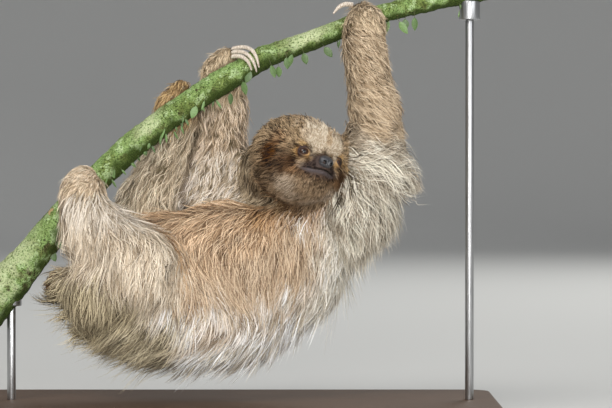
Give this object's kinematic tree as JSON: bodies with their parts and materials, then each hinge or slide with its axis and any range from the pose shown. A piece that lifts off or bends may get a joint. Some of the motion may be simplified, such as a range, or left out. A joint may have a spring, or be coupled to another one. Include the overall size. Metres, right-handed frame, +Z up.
{
  "type": "three-toed sloth",
  "caption": "Life-size still model of a three-toed sloth that hangs belly up from a cut branch, with its face turned to the viewer, on a plain display stand.",
  "frame": {"origin": "centre of the underside of the stand's base", "axes": "+Z up; +X along the branch, from the animal's rump to its head; +Y away from the viewer who sees the animal's left side"},
  "size_m": [0.6133, 0.28, 0.5001],
  "materials": {
    "coat": "long coarse hair, tan and cream over dark roots",
    "coat_face": "short dense hair, cream brow and dark eye stripe",
    "nose": "damp, finely pebbled bare skin",
    "eye": "wet dark brown eye",
    "claw": "smooth pale horn with faint ridges",
    "bark": "bark under pale green lichen and dark moss",
    "stand_wood": "dark stained wood with a satin lacquer",
    "stand_steel": "satin steel rod"
  },
  "bodies": {
    "root": {"arm_fore_left": "coat", "arm_fore_right": "coat", "arm_upper_left": "coat", "arm_upper_right": "coat", "claw_foot_left_1": "claw", "claw_foot_left_2": "claw", "claw_foot_left_3": "claw", "claw_foot_right_1": "claw", "claw_foot_right_2": "claw", "claw_foot_right_3": "claw", "claw_hand_left_1": "claw", "claw_hand_left_2": "claw", "claw_hand_left_3": "claw", "claw_hand_right_1": "claw", "claw_hand_right_2": "claw", "claw_hand_right_3": "claw", "eye_left": "eye", "eye_right": "eye", "foot_left": "coat", "foot_right": "coat", "hand_left": "coat", "hand_right": "coat", "head": "coat_face", "leg_shank_left": "coat", "leg_shank_right": "coat", "leg_thigh_left": "coat", "leg_thigh_right": "coat", "neck": "coat", "nose": "nose", "perch_branch": "bark", "stand_base": "stand_wood", "stand_cradle_left": "stand_steel", "stand_cradle_right": "stand_steel", "stand_rod_left": "stand_steel", "stand_rod_right": "stand_steel", "tail": "coat", "trunk": "coat"}
  },
  "joints": []
}
